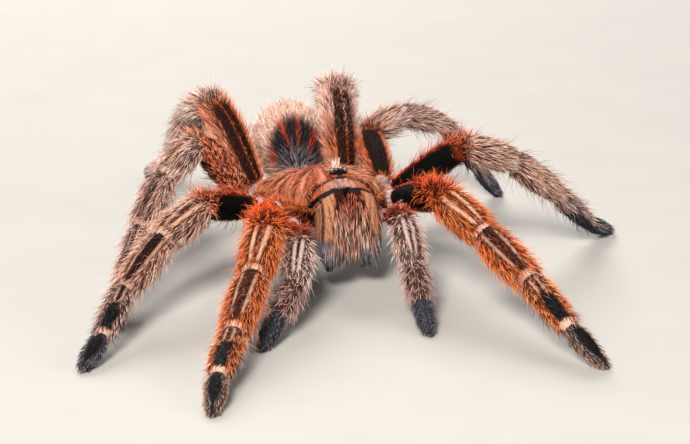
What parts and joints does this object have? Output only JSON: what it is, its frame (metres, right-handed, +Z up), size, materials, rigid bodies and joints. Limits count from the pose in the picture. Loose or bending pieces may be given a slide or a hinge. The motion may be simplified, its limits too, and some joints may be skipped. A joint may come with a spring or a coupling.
{
  "type": "chilean rose tarantula model",
  "caption": "Life-size still model of a standing Chilean rose tarantula with hairy legs spread wide on a flat floor.",
  "frame": {"origin": "on the floor under the middle of the bounding box", "axes": "-Y towards the head, +X towards the spider's left, +Z up from the floor"},
  "size_m": [0.1016, 0.1186, 0.0262],
  "materials": {
    "carapace_fur": "short copper-pink velvet of hair lying flat in rays",
    "clasped_fur": "tan bristles over dark brown, in rows down the jaw",
    "leg_fur": "orange-pink fur with pale bare stripes and long pale bristles",
    "foot_fur": "slate-black velvet pad with a grey hairy edge",
    "underside_fur": "black-brown velvet",
    "abdomen_fur": "long soft pinkish hair over dark",
    "fang_horn": "polished black horn",
    "eye_gloss": "glossy black"
  },
  "bodies": {
    "root": {"abdomen": "abdomen_fur", "carapace": "carapace_fur", "chelicera_left": "clasped_fur", "chelicera_right": "clasped_fur", "eye_tubercle": "eye_gloss", "fang_left": "fang_horn", "fang_right": "fang_horn", "leg_1_femur_left": "leg_fur", "leg_1_femur_right": "leg_fur", "leg_1_metatarsus_left": "leg_fur", "leg_1_metatarsus_right": "leg_fur", "leg_1_patella_left": "leg_fur", "leg_1_patella_right": "leg_fur", "leg_1_tarsus_left": "foot_fur", "leg_1_tarsus_right": "foot_fur", "leg_1_tibia_left": "leg_fur", "leg_1_tibia_right": "leg_fur", "leg_2_femur_left": "leg_fur", "leg_2_femur_right": "leg_fur", "leg_2_metatarsus_left": "leg_fur", "leg_2_metatarsus_right": "leg_fur", "leg_2_patella_left": "leg_fur", "leg_2_patella_right": "leg_fur", "leg_2_tarsus_left": "foot_fur", "leg_2_tarsus_right": "foot_fur", "leg_2_tibia_left": "leg_fur", "leg_2_tibia_right": "leg_fur", "leg_3_femur_left": "leg_fur", "leg_3_femur_right": "leg_fur", "leg_3_metatarsus_left": "leg_fur", "leg_3_metatarsus_right": "leg_fur", "leg_3_patella_left": "leg_fur", "leg_3_patella_right": "leg_fur", "leg_3_tarsus_left": "foot_fur", "leg_3_tarsus_right": "foot_fur", "leg_3_tibia_left": "leg_fur", "leg_3_tibia_right": "leg_fur", "leg_4_femur_left": "leg_fur", "leg_4_femur_right": "leg_fur", "leg_4_metatarsus_left": "leg_fur", "leg_4_metatarsus_right": "leg_fur", "leg_4_patella_left": "leg_fur", "leg_4_patella_right": "leg_fur", "leg_4_tarsus_left": "foot_fur", "leg_4_tarsus_right": "foot_fur", "leg_4_tibia_left": "leg_fur", "leg_4_tibia_right": "leg_fur", "palp_femur_left": "leg_fur", "palp_femur_right": "leg_fur", "palp_patella_left": "leg_fur", "palp_patella_right": "leg_fur", "palp_tarsus_left": "foot_fur", "palp_tarsus_right": "foot_fur", "palp_tibia_left": "leg_fur", "palp_tibia_right": "leg_fur", "pedicel": "underside_fur", "spinneret_left": "abdomen_fur", "spinneret_right": "abdomen_fur", "sternum_and_coxae": "underside_fur"}
  },
  "joints": []
}
